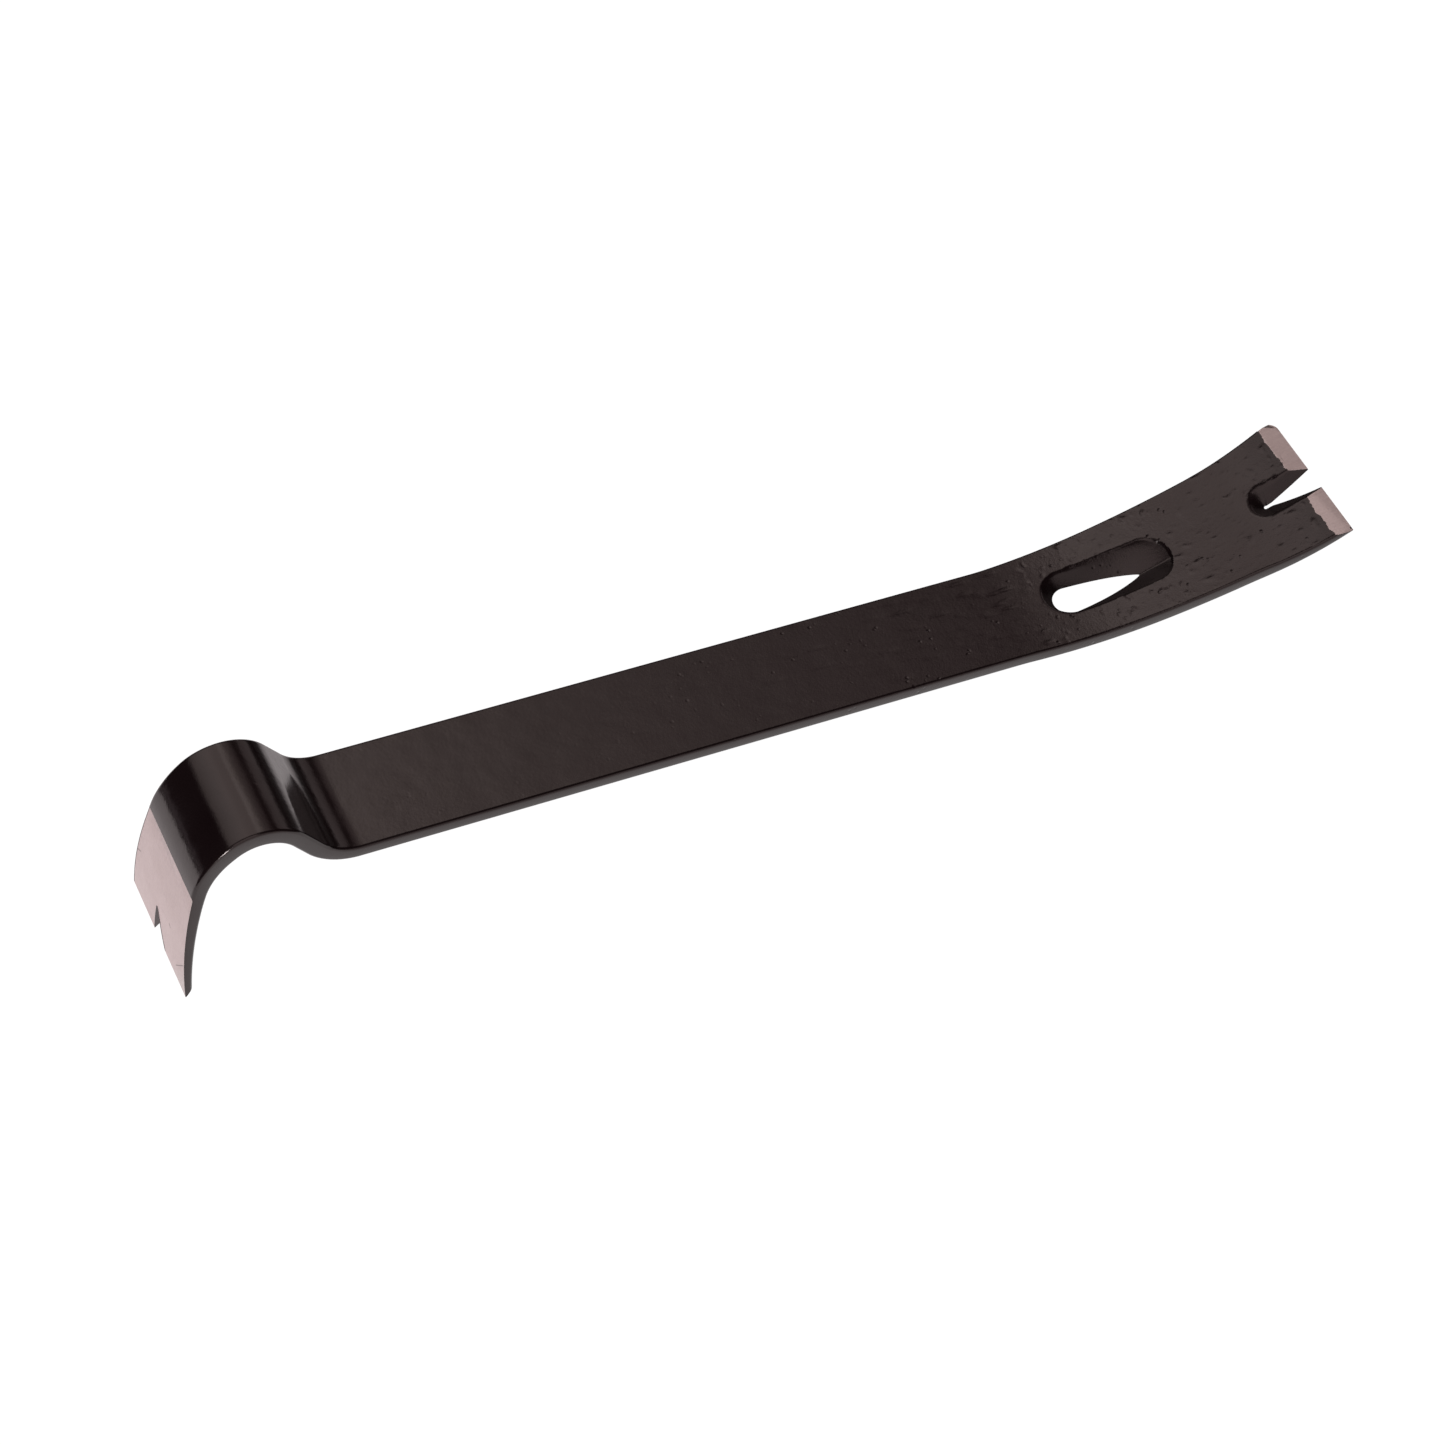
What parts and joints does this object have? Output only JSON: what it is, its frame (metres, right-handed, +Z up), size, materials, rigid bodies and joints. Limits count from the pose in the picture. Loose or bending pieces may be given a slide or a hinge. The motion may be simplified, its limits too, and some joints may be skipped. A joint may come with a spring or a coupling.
{
  "type": "flat pry bar",
  "caption": "Flat forged steel pry bar with a short hooked blade, a long shank, a notched claw and a teardrop nail slot, under gloss black lacquer with ground steel tips.",
  "frame": {"origin": "on the floor, under the middle of the bar's bounding box", "axes": "+X along the bar from the hook to the claw, +Y across the blades, +Z up with the bar resting on the hook's tip and the heel of the claw"},
  "size_m": [0.3808, 0.0489, 0.056],
  "materials": {
    "ground_steel": "satin ground steel, bare on the hook's outer face and on the tips",
    "black_lacquer": "gloss black lacquer over forged steel"
  },
  "bodies": {
    "root": {"forged_bar": "ground_steel", "lacquer_coat": "black_lacquer"}
  },
  "joints": []
}
